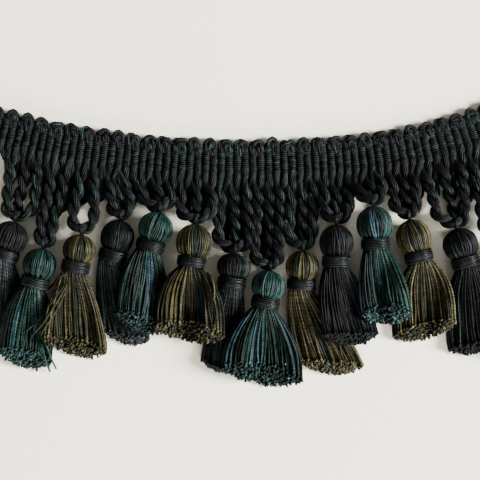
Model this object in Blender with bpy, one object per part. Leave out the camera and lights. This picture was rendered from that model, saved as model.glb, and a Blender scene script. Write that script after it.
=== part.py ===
"""Tassel fringe trim: a woven heading with picot loops, twisted bullion cords and ball tassels, lying flat.

The trim lies on z = 0 and sags in a gentle swag. +X runs along it, +Y points from the tassels to the picots.
All positions below are in millimetres; placed() turns them into metres.
"""

import math
from collections import namedtuple

import bmesh
import bpy
import numpy as np
from mathutils import Matrix, Vector

MM = 0.001
GAP = 0.3  # clearance between neighbouring pieces

# Heading
TIP_Y = 10.7  # the picot tips' height at mid-length
SWAG_LEFT = (1.35e-3, 0.0)  # rise of the swag left of the middle, per x squared and per x to the fourth
SWAG_RIGHT = (0.85e-3, 6.1e-8)
HALF_SPAN = 110.0
PICOTS = 35
PICOT_TALL = 4.0
PICOT_DROP = 1.0  # how much lower the picots' tips lie than the ribs
SCALLOP = (0.45, 2.9, PICOT_TALL, 2.9)  # how far each quarter of a picot stands out of the band
BAND_TALL = 13.2  # ribs, from the picots' roots to the lower edge
RIB_PEAK = 3.2
RIB_GROOVE = 2.3
STRIP_TALL = 1.7  # the lowest part of the ribs, where the bullion cords begin
STRIP_THICK = 2.8

# Bullion cord, two plies twisted together, so its section is longer one way than the other
CORD_WIDE = 4.4
CORD_NARROW = 2.7
CORD_STEP = 1.9
TWIST_PER_STEP = math.radians(-75.0)  # a ply on the near side runs down to the right
CORD_ROOT = 3.8  # width of a cord's root on the strip
CORD_LOW = 2.3  # height of a cord's middle where it lies on the surface
LOOP_ROUND = 5.5  # greatest height of the round bottom of a loop
LOOP_ROUND_SHARE = 1.2  # the same, as a share of a narrow loop's half width
MIDDLE_SHORT = 0.5  # the middle cord ends this far over the tie
MIDDLE_UNDER = 2.6  # and this far under the loop's other cords

# Tie, a ring of thread round the cord's loop
TIE_BORE = 2.6
TIE_THREAD = 0.9

# Tassel
AXIS_HIGH = (6.9, 8.2, 9.4)  # height of a tassel's axis, for each level of overlap
NECK_RADIUS = 4.4
NECK_SPARE = 0.2  # how far the neck stands out of the binding at each end
BINDING_TALL = 5.0
BINDING_RADIUS = 6.2
SKIRT_ROOT_RADIUS = 5.4
SKIRT_ROOT_BELOW = 3.0  # from the middle of the neck down to where the locks part
COLUMNS = 6
FIRST_EDGE = 0.875  # where the first column begins on the root's round, as a share of half a turn
COLUMN_TURN = 0.125  # the part of it that each column takes
LOCK_STEPS = (0.22, 0.58, 1.0)
LOCK_GAP = 0.45
SETTLE_ROUNDS = 40
SETTLE_LOOKS = 12  # places looked at along each step of a lock
NEAR_ROOT = 0.25  # share of the first step that a lock keeps to its root, whatever lies there
SKIRT_DEEP = (9.0, 6.6, 5.2)  # thickness of the skirt at each step, two layers of locks
SKIRT_DROP = 2.5  # how far the skirt's middle sinks by the first step
EDGE_THINNING = 0.5  # how much thinner the outermost locks are
END_ROUNDING = 0.13  # how much shorter the outermost locks are

# Each tassel: the top of its head, the middle of its neck and of its cut end, the head's radius,
# the half widths of the cut end, how quickly the skirt widens, and its level in the overlap.
Tassel = namedtuple(
    "Tassel", "yarn level top neck end radius wide_left wide_right puff"
)
TASSELS = (
    Tassel("dark", 0, (-93.1, -24.9), (-97.5, -37.9), (-105.0, -72.5), 7.3, 12.5, 12.5, 2.2),
    Tassel("teal", 1, (-81.2, -36.0), (-84.8, -49.5), (-90.4, -85.0), 6.9, 11.2, 11.2, 2.4),
    Tassel("olive", 2, (-65.2, -30.2), (-67.8, -43.0), (-67.9, -80.4), 6.8, 13.8, 13.3, 1.4),
    Tassel("dark", 0, (-49.2, -24.2), (-52.7, -38.3), (-47.9, -75.0), 6.9, 10.4, 11.2, 2.2),
    Tassel("teal", 1, (-32.9, -21.0), (-37.1, -34.3), (-41.2, -70.0), 7.2, 11.2, 11.2, 2.4),
    Tassel("olive", 2, (-18.0, -25.8), (-20.0, -40.9), (-20.8, -74.2), 7.4, 15.0, 15.0, 3.2),
    Tassel("dark", 0, (-1.9, -37.9), (-3.5, -49.7), (-7.9, -86.7), 7.0, 8.8, 8.3, 2.0),
    Tassel("teal", 1, (12.7, -45.0), (10.5, -57.9), (9.2, -92.4), 7.0, 17.9, 17.5, 1.8),
    Tassel("olive", 0, (26.2, -36.8), (25.4, -50.5), (38.8, -87.9), 6.9, 13.8, 15.0, 1.3),
    Tassel("dark", 1, (39.9, -26.0), (39.8, -40.8), (46.7, -75.0), 7.1, 12.1, 12.1, 2.0),
    Tassel("teal", 2, (55.0, -18.3), (55.9, -33.6), (61.7, -66.7), 7.4, 10.4, 10.4, 2.2),
    Tassel("olive", 1, (69.8, -24.0), (73.8, -38.9), (77.1, -73.3), 7.2, 13.3, 13.3, 3.0),
    Tassel("dark", 0, (89.6, -27.7), (93.4, -41.1), (99.6, -78.8), 7.3, 12.5, 12.5, 2.2),
    Tassel("teal", 1, (107.1, -32.1), (111.2, -45.4), (118.3, -81.2), 7.3, 11.7, 12.5, 2.0),
)

# Each loop of bullion: where its cords leave the strip, and the widest points of the loop, as x.
# A loop with a middle cord has a third one behind it.
Loop = namedtuple("Loop", "left_root left_side right_side right_root middle")
LOOPS = (
    Loop(-95.8, -96.8, -85.2, -83.8, -89.2),
    Loop(-79.2, -84.4, -77.2, -71.7, None),
    Loop(-65.0, -70.4, -57.6, -59.6, None),
    Loop(-54.2, -53.6, -45.6, -48.3, None),
    Loop(-42.5, -40.6, -28.6, -28.8, -35.0),
    Loop(-23.3, -25.2, -11.4, -12.9, -18.3),
    Loop(-7.5, -9.2, 3.6, 2.5, -2.5),
    Loop(7.5, 5.8, 16.0, 16.7, 12.1),
    Loop(21.5, 20.2, 30.0, 30.8, 26.2),
    Loop(35.2, 34.9, 45.2, 44.8, 40.0),
    Loop(49.4, 49.2, 58.8, 58.6, 54.0),
    Loop(63.3, 63.8, 73.0, 72.7, 68.0),
    Loop(77.5, 81.2, 93.2, 92.5, 85.0),
    Loop(97.5, 100.2, 110.2, 107.0, 102.3),
)

# Colours of the yarns, linear
YARNS = {
    "dark": (0.012, 0.011, 0.016),
    "teal": (0.012, 0.075, 0.078),
    "olive": (0.085, 0.068, 0.025),
    "gimp": (0.012, 0.030, 0.024),
    "thread": (0.010, 0.011, 0.014),
}
YARN_ROUGHNESS = 0.75


def material(name):
    """A matt yarn or thread of one colour."""
    made = bpy.data.materials.new(name)
    made.use_nodes = True
    shader = made.node_tree.nodes["Principled BSDF"]
    shader.inputs["Base Color"].default_value = (*YARNS[name], 1.0)
    shader.inputs["Roughness"].default_value = YARN_ROUGHNESS
    shader.inputs["Metallic"].default_value = 0.0
    return made


def placed(point):
    return Vector(point) * MM


def finished(bm, name, yarn, collection, materials):
    """The bmesh as a named object with outward faces and its yarn's material."""
    bmesh.ops.recalc_face_normals(bm, faces=bm.faces)
    mesh = bpy.data.meshes.new(name)
    bm.to_mesh(mesh)
    bm.free()
    mesh.materials.append(materials[yarn])
    obj = bpy.data.objects.new(name, mesh)
    collection.objects.link(obj)
    return obj


def swag(x):
    """The picot tips' curve: height and slope at x."""
    square, fourth = SWAG_LEFT if x < 0 else SWAG_RIGHT
    height = TIP_Y + square * x**2 + fourth * x**4
    slope = 2 * square * x + 4 * fourth * x**3
    return height, slope


def under_tips(x, depth):
    """The point at this depth below the tips' curve, measured square to it."""
    height, slope = swag(x)
    length = math.hypot(1.0, slope)
    return x + depth * slope / length, height - depth / length


def along_tips(count):
    """x values that divide the tips' curve in equal lengths."""
    xs = np.linspace(-HALF_SPAN, HALF_SPAN, 2001)
    slopes = np.array([swag(x)[1] for x in xs])
    lengths = np.concatenate([[0.0], np.cumsum(np.hypot(1.0, slopes[1:]) * np.diff(xs))])
    return np.interp(np.linspace(0.0, lengths[-1], count + 1), lengths, xs)


def slab_from_grid(columns, rows, point_at, top_at):
    """A closed slab: a grid laid flat on z = 0, and the same grid raised over it."""
    bm = bmesh.new()
    bmesh.ops.create_grid(bm, x_segments=columns, y_segments=rows, size=1.0)
    places = {}
    for vert in bm.verts:
        i = round((vert.co.x + 1) / 2 * columns)
        j = round((vert.co.y + 1) / 2 * rows)
        places[vert] = (i, j)
        vert.co = placed((*point_at(i, j), 0.0))
    low = {tuple(vert.co): places[vert] for vert in bm.verts}
    raised = bmesh.ops.extrude_face_region(bm, geom=bm.faces[:])
    for item in raised["geom"]:
        if isinstance(item, bmesh.types.BMVert):
            item.co.z = top_at(*low[tuple(item.co)]) * MM
    return bm


def make_heading(collection, materials):
    """The band: flat back, a raised rib for each half picot, and the picots' scalloped top edge."""
    columns = PICOTS * 4
    xs = along_tips(columns)

    def point_at(i, j):
        depths = (
            PICOT_TALL + BAND_TALL - STRIP_TALL - GAP,
            PICOT_TALL,
            PICOT_TALL - SCALLOP[i % 4],
        )
        return under_tips(xs[i], depths[j])

    def top_at(i, j):
        height = RIB_PEAK if i % 2 else RIB_GROOVE
        return height if j < 2 else height - PICOT_DROP

    bm = slab_from_grid(columns, 2, point_at, top_at)
    return finished(bm, "heading", "gimp", collection, materials)


def cord_roots():
    """Each cord's root as (x on the strip, the tassel's number, which cord of the loop)."""
    roots = []
    for number, loop in enumerate(LOOPS):
        roots.append((loop.left_root, number, "left"))
        if loop.middle is not None:
            roots.append((loop.middle, number, "middle"))
        roots.append((loop.right_root, number, "right"))
    return roots


def x_on_tips(x, depth):
    """The tips' curve x whose point at this depth lies at x."""
    guess = x
    for _ in range(12):
        guess += x - under_tips(guess, depth)[0]
    return guess


def smooth(t):
    t = min(max(t, 0.0), 1.0)
    return t * t * (3 - 2 * t)


def loop_bottom(number):
    """The middle of the cord at the bottom of a loop, where the tie holds the tassel."""
    tassel = TASSELS[number]
    up = TIE_BORE + TIE_THREAD + GAP
    x, y = tassel.top
    return x, y + up, AXIS_HIGH[tassel.level]


def cord_route(number, which, start):
    """Points down one cord, from its root to the bottom of its loop."""
    loop = LOOPS[number]
    x_low, y_low, z_low = loop_bottom(number)
    x0, y0 = start
    if which == "middle":
        y_end = y_low + TIE_BORE + TIE_THREAD + MIDDLE_SHORT
        goal = [(x_low, y_end)]
    else:
        side = loop.left_side if which == "left" else loop.right_side
        toward = math.copysign(1.0, x_low - side)
        x_mid = x_low - toward * GAP / 2
        tall = min(LOOP_ROUND, LOOP_ROUND_SHARE * abs(side - x_mid))
        turn = np.linspace(0.0, math.pi / 2, 7)
        goal = [
            (x_mid + (side - x_mid) * math.cos(a), y_low + tall * (1 - math.sin(a)))
            for a in turn
        ]
    x1, y1 = goal[0]
    points = [
        (x0 + (x1 - x0) * smooth(t), y0 + (y1 - y0) * t) for t in np.linspace(0, 1, 12)
    ]
    points += goal[1:]
    flat = np.array(points)
    run = np.concatenate([[0.0], np.cumsum(np.hypot(*np.diff(flat, axis=0).T))])
    steps = max(4, round(run[-1] / CORD_STEP))
    at = np.linspace(0.0, run[-1], steps + 1)
    z_end = z_low - MIDDLE_UNDER if which == "middle" else z_low
    z_end = max(z_end, CORD_LOW)
    return [
        Vector(
            (
                np.interp(s, run, flat[:, 0]),
                np.interp(s, run, flat[:, 1]),
                CORD_LOW + (z_end - CORD_LOW) * smooth(s / run[-1]),
            )
        )
        for s in at
    ]


def grow_cord(bm, face, route, end_ahead):
    """Extrudes the strip's face along the route, turning the flattened section as two plies twist.

    The last section is square to end_ahead, so that it lies straight in the tie's bore.
    """
    corners = [vert.co.copy() / MM for vert in face.verts]
    middle = sum(corners, Vector()) / 4
    ahead = (route[1] - route[0]).normalized()
    across = Vector((-ahead.y, ahead.x, 0.0)).normalized()
    angles = [math.atan2(c.z - middle.z, (c - middle).dot(across)) for c in corners]
    for step in range(1, len(route)):
        before = route[step - 1]
        ahead = end_ahead if step == len(route) - 1 else route[step + 1] - before
        across = Vector((-ahead.y, ahead.x, 0.0)).normalized()
        face = bmesh.ops.extrude_discrete_faces(bm, faces=[face])["faces"][0]
        for corner, vert in enumerate(face.verts):
            quarter = round((angles[corner] - math.pi / 4) / (math.pi / 2)) % 4
            radius = CORD_WIDE / 2 if quarter % 2 == 0 else CORD_NARROW / 2
            angle = math.pi / 4 + quarter * math.pi / 2 + step * TWIST_PER_STEP
            point = (
                route[step]
                + across * radius * math.cos(angle)
                + Vector((0, 0, radius * math.sin(angle)))
            )
            vert.co = placed(point)


def make_bullion(collection, materials):
    """The strip under the heading, with every cord of every loop grown from its lower edge."""
    depth_high = PICOT_TALL + BAND_TALL - STRIP_TALL
    depth_low = PICOT_TALL + BAND_TALL
    roots = cord_roots()
    xs = [-HALF_SPAN]
    for x, _, _ in roots:
        middle = x_on_tips(x, depth_low)
        xs += [middle - CORD_ROOT / 2, middle + CORD_ROOT / 2]
    xs.append(HALF_SPAN)

    def point_at(i, j):
        return under_tips(xs[i], depth_high if j else depth_low)

    def top_at(i, j):
        return STRIP_THICK

    bm = slab_from_grid(len(xs) - 1, 1, point_at, top_at)
    bmesh.ops.recalc_face_normals(bm, faces=bm.faces)
    for index, (_, number, which) in enumerate(roots):
        left = Vector((*point_at(2 * index + 1, 0), STRIP_THICK / 2))
        right = Vector((*point_at(2 * index + 2, 0), STRIP_THICK / 2))
        middle = (left + right) / 2
        face = min(bm.faces, key=lambda f: (f.calc_center_median() / MM - middle).length)
        route = cord_route(number, which, (middle.x, middle.y))
        end_ahead = Vector((0, -1, 0))
        if which != "middle":
            end_ahead = Vector((math.copysign(1.0, loop_bottom(number)[0] - route[-1].x), 0, 0))
        grow_cord(bm, face, route, end_ahead)
    return finished(bm, "bullion", "gimp", collection, materials)


def edge_angle(i):
    """Where a column edge lies on the root's round."""
    return math.pi * (FIRST_EDGE - COLUMN_TURN * i)


def disc_point(i, j):
    """The grid's point as a point of a unit disc: j is 0, 1 or 2 from the front to the back."""
    angle = edge_angle(i)
    if j == 1:
        return (math.copysign(1.0, math.cos(angle)) if i in (0, COLUMNS) else math.cos(angle)), 0.0
    return math.cos(angle), math.sin(angle) * (j - 1)


class Ground:
    """The height of what already lies there, so that an upper tassel rests on a lower one."""

    CELL = 0.5
    LOW = np.array((-140.0, -110.0))
    HIGH = np.array((140.0, 20.0))

    def __init__(self):
        shape = ((self.HIGH - self.LOW) / self.CELL).astype(int)
        self.height = np.zeros(shape)

    def cells(self, point, reach):
        low = ((np.array(point) - reach - self.LOW) / self.CELL).astype(int)
        high = ((np.array(point) + reach - self.LOW) / self.CELL).astype(int) + 1
        return slice(low[0], high[0]), slice(low[1], high[1])

    def raise_to(self, point, top, reach=0.6):
        window = self.cells(point, reach)
        self.height[window] = np.maximum(self.height[window], top)

    def under(self, point, reach=0.3):
        return self.height[self.cells(point, reach)].max()


def axes_of(tassel):
    """A tassel's axis, from its neck to its top, and the direction to its right."""
    up = (Vector(tassel.top) - Vector(tassel.neck)).normalized()
    return up, Vector((up.y, -up.x))


def head_profile(tassel):
    """Rings from the skirt's root up to the top of the head: height over the root, and radius."""
    top = (Vector(tassel.top) - Vector(tassel.neck)).length + SKIRT_ROOT_BELOW
    neck_low = SKIRT_ROOT_BELOW - BINDING_TALL / 2 - NECK_SPARE
    neck_high = SKIRT_ROOT_BELOW + BINDING_TALL / 2 + NECK_SPARE
    r = tassel.radius
    tall = top - neck_high
    return (
        (0.0, SKIRT_ROOT_RADIUS),
        (neck_low, NECK_RADIUS),
        (neck_high, NECK_RADIUS),
        (neck_high + 0.06 * tall, 0.82 * r),
        (neck_high + 0.36 * tall, r),
        (neck_high + 0.68 * tall, 0.90 * r),
        (neck_high + 0.91 * tall, 0.52 * r),
        (top, 0.16 * r),
    )


def lock_ends(tassel, i):
    """Share of the full width at the cut end for a column edge, and how far down it is cut."""
    share = -1 + 2 * i / COLUMNS
    wide = tassel.wide_left if share < 0 else tassel.wide_right
    return share * wide, 1 - END_ROUNDING * share**2


def skirt_edges(tassel):
    """Where each column edge of the skirt lies at each step, as points in the plane."""
    up, right = axes_of(tassel)
    root = Vector(tassel.neck) - up * SKIRT_ROOT_BELOW
    end = Vector(tassel.end)
    rows = []
    for t in LOCK_STEPS:
        spread = 1 - (1 - t) ** tassel.puff
        row = []
        for i in range(COLUMNS + 1):
            side, cut = lock_ends(tassel, i)
            narrow = SKIRT_ROOT_RADIUS * disc_point(i, 1)[0]
            down = root.lerp(end, t * (1 + (cut - 1) * t))
            row.append(down + right * (narrow + (side - narrow) * spread))
        rows.append(row)
    return rows


def column_thickness(step, i):
    share = abs(-1 + 2 * (i + 0.5) / COLUMNS)
    return SKIRT_DEEP[step] / 2 * (1 - EDGE_THINNING * share**2) - LOCK_GAP / 2


def root_half(i):
    """Half the height of a column where it leaves the neck."""
    return SKIRT_ROOT_RADIUS * math.sin(edge_angle(i + 0.5))


def settle_column(ground, tassel, edges, i):
    """The height of a column's underside at each step, over the surface and all that lies there."""
    up, _ = axes_of(tassel)
    root = Vector(tassel.neck) - up * SKIRT_ROOT_BELOW
    axis = AXIS_HIGH[tassel.level]
    base = [max(0.0, axis - SKIRT_DEEP[0] / 2 - SKIRT_DROP), 0.0, 0.0]
    for _ in range(SETTLE_ROUNDS):
        lifts = [0.0] * len(LOCK_STEPS)
        for step in range(len(LOCK_STEPS)):
            left_before, right_before = (root, root) if step == 0 else edges[step - 1][i : i + 2]
            base_before = axis - root_half(i) if step == 0 else base[step - 1]
            left_after, right_after = edges[step][i : i + 2]
            first = NEAR_ROOT if step == 0 else 1 / SETTLE_LOOKS
            for t in np.linspace(first, 1.0, SETTLE_LOOKS):
                left = left_before.lerp(left_after, t)
                right = right_before.lerp(right_after, t)
                need = max(ground.under(left.lerp(right, s)) for s in (0, 0.25, 0.5, 0.75, 1))
                short = need + GAP - (base_before + (base[step] - base_before) * t)
                if need <= 0 or short <= 0:
                    continue
                lifts[step] = max(lifts[step], short * t)
                if step:
                    lifts[step - 1] = max(lifts[step - 1], short * (1 - t))
        if max(lifts) < 0.02:
            break
        base = [height + lift for height, lift in zip(base, lifts)]
    return base


def lay_on(ground, tassel, edges, bases):
    """Raises the ground by a tassel's skirt, from its root to its cut end."""
    up, right = axes_of(tassel)
    root = Vector(tassel.neck) - up * SKIRT_ROOT_BELOW
    for i, base in enumerate(bases):
        sides = [root + right * SKIRT_ROOT_RADIUS * disc_point(k, 1)[0] for k in (i, i + 1)]
        sections = [(*sides, AXIS_HIGH[tassel.level] + root_half(i))]
        for step, low in enumerate(base):
            top = low + 2 * column_thickness(step, i) + LOCK_GAP
            sections.append((edges[step][i], edges[step][i + 1], top))
        for (left_a, right_a, top_a), (left_b, right_b, top_b) in zip(sections, sections[1:]):
            for t in np.linspace(0, 1, 30):
                for s in np.linspace(0, 1, 9):
                    point = left_a.lerp(left_b, t).lerp(right_a.lerp(right_b, t), s)
                    ground.raise_to(point, top_a + (top_b - top_a) * t)


def lay_head(ground, tassel):
    """Raises the ground by a tassel's head, binding and the root of its skirt."""
    up, _ = axes_of(tassel)
    axis = AXIS_HIGH[tassel.level]
    neck = Vector(tassel.neck)
    balls = [(neck + up * s, BINDING_RADIUS) for s in (-4.0, -2.0, 0.0, 2.0)]
    balls.append((Vector(tassel.top) - up * tassel.radius, tassel.radius))
    for middle, radius in balls:
        for dx in np.arange(-radius, radius + 0.1, 0.5):
            for dy in np.arange(-radius, radius + 0.1, 0.5):
                if dx * dx + dy * dy < radius * radius:
                    top = axis + math.sqrt(radius**2 - dx * dx - dy * dy)
                    ground.raise_to(middle + Vector((dx, dy)), top, 0.2)


def make_tassel(name, tassel, edges, bases, collection, materials):
    """A head with its neck, and the skirt's locks grown from the underside of the neck."""
    up, right = axes_of(tassel)
    root = Vector(tassel.neck) - up * SKIRT_ROOT_BELOW
    axis = AXIS_HIGH[tassel.level]

    def disc_to_space(x, y, height, radius):
        flat = root + up * height + right * x * radius
        return placed((flat.x, flat.y, max(0.0, axis + y * radius)))

    bm = bmesh.new()
    bmesh.ops.create_grid(bm, x_segments=COLUMNS, y_segments=2, size=1.0)
    for vert in bm.verts:
        i = round((vert.co.x + 1) / 2 * COLUMNS)
        j = round(vert.co.y + 1)
        vert.co = (*disc_point(i, j), 0.0)
    locks = {}
    for face in bm.faces:
        middle = face.calc_center_median()
        i = sum(middle.x > math.cos(edge_angle(k)) for k in range(1, COLUMNS))
        locks[(i, middle.y > 0)] = face
    top_faces = bm.faces[:]
    profile = head_profile(tassel)
    for ring in range(1, len(profile)):
        edges_of_top = list({edge for face in top_faces for edge in face.edges})
        verts_of_top = list({vert for face in top_faces for vert in face.verts})
        region = top_faces + edges_of_top + verts_of_top
        grown = bmesh.ops.extrude_face_region(bm, geom=region)["geom"]
        top_faces = [item for item in grown if isinstance(item, bmesh.types.BMFace)]
        for item in grown:
            if isinstance(item, bmesh.types.BMVert):
                item.co.z = ring
    for vert in bm.verts:
        height, radius = profile[round(vert.co.z)]
        vert.co = disc_to_space(vert.co.x, vert.co.y, height, radius)
    bmesh.ops.recalc_face_normals(bm, faces=bm.faces)
    for (i, is_upper), face in locks.items():
        grow_lock(bm, face, tassel, edges, bases[i], i, is_upper)
    return finished(bm, name, tassel.yarn, collection, materials)


def grow_lock(bm, face, tassel, edges, base, i, is_upper):
    """Extrudes one lock of yarn down the skirt, in its column and layer."""
    _, right = axes_of(tassel)
    middle = face.calc_center_median() / MM
    sides = [
        ((vert.co / MM - middle).to_2d().dot(right) > 0, vert.co.z / MM > middle.z)
        for vert in face.verts
    ]
    for step in range(len(LOCK_STEPS)):
        face = bmesh.ops.extrude_discrete_faces(bm, faces=[face])["faces"][0]
        deep = column_thickness(step, i)
        low = base[step] + (deep + LOCK_GAP if is_upper else 0.0)
        for (is_right, is_high), vert in zip(sides, face.verts):
            flat = edges[step][i + 1] if is_right else edges[step][i]
            inward = -LOCK_GAP / 2 if is_right else LOCK_GAP / 2
            flat = flat + right * inward
            vert.co = placed((flat.x, flat.y, low + (deep if is_high else 0.0)))


def aim(tassel):
    """Turns a shape made about +Z so that its axis runs up the tassel."""
    up, right = axes_of(tassel)
    x_axis = Vector((right.x, right.y, 0))
    z_axis = Vector((up.x, up.y, 0))
    y_axis = z_axis.cross(x_axis)
    return Matrix((x_axis, y_axis, z_axis)).transposed().to_4x4()


def make_binding(name, tassel, collection, materials):
    """The thread wound round the neck: a barrel with an open bore."""
    bore = NECK_RADIUS + GAP + 0.2
    half = BINDING_TALL / 2
    profile = (
        (bore, -half),
        (bore, half),
        (BINDING_RADIUS - 0.5, half),
        (BINDING_RADIUS, 0.0),
        (BINDING_RADIUS - 0.3, -half),
    )
    mesh = bpy.data.meshes.new(name)
    bm = bmesh.new()
    verts = [bm.verts.new(placed((x, 0.0, z))) for x, z in profile]
    edges = [bm.edges.new((a, b)) for a, b in zip(verts, verts[1:] + verts[:1])]
    bmesh.ops.spin(
        bm,
        geom=verts + edges,
        axis=(0, 0, 1),
        cent=(0, 0, 0),
        angle=2 * math.pi,
        steps=12,
        use_merge=True,
    )
    bmesh.ops.recalc_face_normals(bm, faces=bm.faces)
    place = Matrix.Translation(placed((*tassel.neck, AXIS_HIGH[tassel.level])))
    bm.transform(place @ aim(tassel))
    bm.to_mesh(mesh)
    bm.free()
    mesh.materials.append(materials["thread"])
    obj = bpy.data.objects.new(name, mesh)
    collection.objects.link(obj)
    return obj


def make_tie(name, number, collection, materials):
    """The ring of thread that holds the tassel on the bottom of its loop."""
    bpy.ops.mesh.primitive_torus_add(
        major_segments=10,
        minor_segments=4,
        major_radius=(TIE_BORE + TIE_THREAD / 2) * MM,
        minor_radius=TIE_THREAD / 2 * MM,
        location=placed(loop_bottom(number)),
        rotation=(0.0, math.pi / 2, 0.0),
    )
    obj = bpy.context.object
    obj.name = name
    obj.data.name = name
    obj.data.materials.append(materials["thread"])
    for other in list(obj.users_collection):
        other.objects.unlink(obj)
    collection.objects.link(obj)
    return obj


def main():
    for obj in list(bpy.data.objects):
        bpy.data.objects.remove(obj, do_unlink=True)
    collection = bpy.data.collections.new("tassel_fringe_trim")
    bpy.context.scene.collection.children.link(collection)
    materials = {name: material(name) for name in YARNS}

    make_heading(collection, materials)
    make_bullion(collection, materials)

    ground = Ground()
    for level in range(len(AXIS_HIGH)):
        members = [(n, t) for n, t in enumerate(TASSELS) if t.level == level]
        for number, tassel in members:
            edges = skirt_edges(tassel)
            others = Ground()
            others.height = ground.height.copy()
            for _, other in members:
                if other is not tassel:
                    lay_head(others, other)
            bases = [settle_column(others, tassel, edges, i) for i in range(COLUMNS)]
            lay_on(ground, tassel, edges, bases)
            label = f"{number + 1:02d}"
            make_tassel(f"tassel_{label}", tassel, edges, bases, collection, materials)
            make_binding(f"binding_{label}", tassel, collection, materials)
            make_tie(f"tie_{label}", number, collection, materials)
        for _, tassel in members:
            lay_head(ground, tassel)


main()
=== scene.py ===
"""Dresses the tassel fringe trim: ribbed heading, picot loops, twisted bullion and ball tassels, yarn by yarn.

Every yarn is a round run of its own in the mesh of its piece. Lengths are in millimetres until spin_yarns and
placed() turn them into metres. +X runs along the trim, +Y points from the tassels to the picots, +Z is up.
"""

import math
from collections import namedtuple

import bpy
import numpy as np
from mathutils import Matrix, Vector


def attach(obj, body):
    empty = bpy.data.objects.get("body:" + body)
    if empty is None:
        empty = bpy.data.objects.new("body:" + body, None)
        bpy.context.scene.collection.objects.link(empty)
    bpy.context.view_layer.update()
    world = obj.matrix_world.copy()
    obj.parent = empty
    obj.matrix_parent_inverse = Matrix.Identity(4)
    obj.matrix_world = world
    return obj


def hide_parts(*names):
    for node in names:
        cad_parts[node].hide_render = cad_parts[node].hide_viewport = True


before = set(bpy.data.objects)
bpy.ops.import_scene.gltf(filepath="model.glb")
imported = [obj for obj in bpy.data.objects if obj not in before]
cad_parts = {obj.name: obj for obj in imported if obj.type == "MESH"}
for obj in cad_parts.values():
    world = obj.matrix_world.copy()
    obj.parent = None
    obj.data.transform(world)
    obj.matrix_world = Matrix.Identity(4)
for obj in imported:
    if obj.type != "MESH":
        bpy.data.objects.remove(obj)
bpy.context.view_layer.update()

MM = 0.001
GAP = 0.3

# Heading, as in the part's source
TIP_Y = 10.7
SWAG_LEFT = (1.35e-3, 0.0)
SWAG_RIGHT = (0.85e-3, 6.1e-8)
HALF_SPAN = 110.0
PICOTS = 35
RIBS = 2 * PICOTS
PICOT_TALL = 4.0
BAND_TALL = 13.2
RIB_PEAK = 3.2

# Heading, its dressing
BODY_COLUMNS = 6  # columns of faces to a rib in the band's body
BODY_ROWS = 4
BODY_SHORT = 0.3  # how far over the band's lower edge the body ends
BODY_TALLER = 1.0  # how much taller it is than the band, under the picots
BODY_GROOVE = 0.5
BODY_PEAK = 2.2
BODY_DYE = (0.004, 0.005, 0.006)
GROOVE_HIGH = 0.7
RIB_HALF = 1.47
WEFT_ACROSS = (-1.0, -0.92, -0.6, 0.0, 0.6, 0.92, 1.0)  # a wrapping thread's points across its rib
WEFT_RISES = (0.0, 0.55, 0.9, 1.0, 0.9, 0.55, 0.0)  # and how far it rises at each
WEFT_THICK = 0.42
WEFT_STEP = 0.88
WEFT_START = 0.1  # how far over the picots' lower edge the first threads start
WEFT_SHIFT = 0.16  # how far the threads on one rib lie from those on the next
WEFT_SLANT = 0.22
WEFT_JITTER = 0.03
WEFT_LIFTS = (0.93, 1.05)
WEFT_SHADES = (0.5, 1.7)
BULGE = 0.05  # how much wider and higher a rib gets along its length
BULGE_WAVE = 0.9
GREEN_WAVES = (1.1, 2.3)  # how fast green and plum change places down a rib
GREEN_JITTER = 0.7
GREEN_SPAN = 1.2
GLINT_SHARE = 0.20  # share of the wrapping threads painted with the light green glint, a painted highlight
GLINT_DEEPER = 0.7

# Bullion, as in the part's source
CORD_LOW = 2.3
LOOP_ROUND = 5.5
LOOP_ROUND_SHARE = 1.2
ROPE_LATE = 1.6  # how late a rope leaves its root's line for its loop's side
MIDDLE_UNDER = 2.2
MIDDLE_OVER = 0.4  # how far over the loop's bottom a middle cord ends
TIE_BORE = 2.6
TIE_THREAD = 0.9

# Bullion, its yarns
TWIST_PITCH = 13.6
TWIST_SPREAD = 0.08  # how far the pitch of one rope differs from that of the next
TWIST_START = 1.6 * math.pi
TWIST_START_SPREAD = 0.3
PLY_OFFSET = 1.32
PLY_YARNS = 8
PLY_YARN_OFFSET = 1.06
PLY_YARN_THICK = 0.40
PLY_TWIST_PITCH = 21.0
ROPE_STEP = 0.86
PETAL_RUN = 5.8  # length over which a ply leaves its rib and joins its rope
PETAL_INSIDE = 1.4  # how far over the band's lower edge a ply leaves its rib
PETAL_HIGH = 2.0
PETAL_TALL = 11.0  # length of a ply that only slips behind the nearest rope
PETAL_BEHIND = 1.1
PETAL_REACH = 5.0
PETAL_SHARE = 0.6  # the most of a rope that such a ply follows
PETAL_SOONER = 1.3
STUB_TALL = 5.5  # length of a ply that has no rope near it
STUB_LEAN = 0.12
LEAD_BACK = 1.8  # each ply starts inside its rib, this far back and this far down
LEAD_DOWN = 0.3
FILL_SHARE = 0.82  # how far down a ply follows the two ropes that it hangs behind
FILL_INSIDE = 0.97  # the same inside a loop that is drawn shut
FILL_HIGH = 1.5
FILL_SWAY = 0.45
FILL_TUCK = 5.0  # length over which its end slips behind the left rope
FILL_STEP = 1.1
UNDER_STEP = np.array([1.3, 0.0, 0.9])  # the plies under the first ones lie between the ribs
OPEN_FROM = {0: -9.5, 2: -19.5, 12: -16.5, 13: -11.0}  # the loops that stay open, from this height down
LOOP_LOWER = 1.3  # how far the rope settles towards the head inside its tie
TIE_PINCH = 0.34  # how much of its thickness the rope loses inside its tie
TIE_PINCH_REACH = 2.0
TIE_TURNS = 4
TIE_POINTS = 22  # points to a turn
TIE_ROUND = 2.25
TIE_WANDER = 0.06  # how unevenly a tie is wound
TIE_WANDER_SHARE = 0.15
TIE_HALF_WIDE = 0.5
TIE_FINE = 0.26

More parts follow.
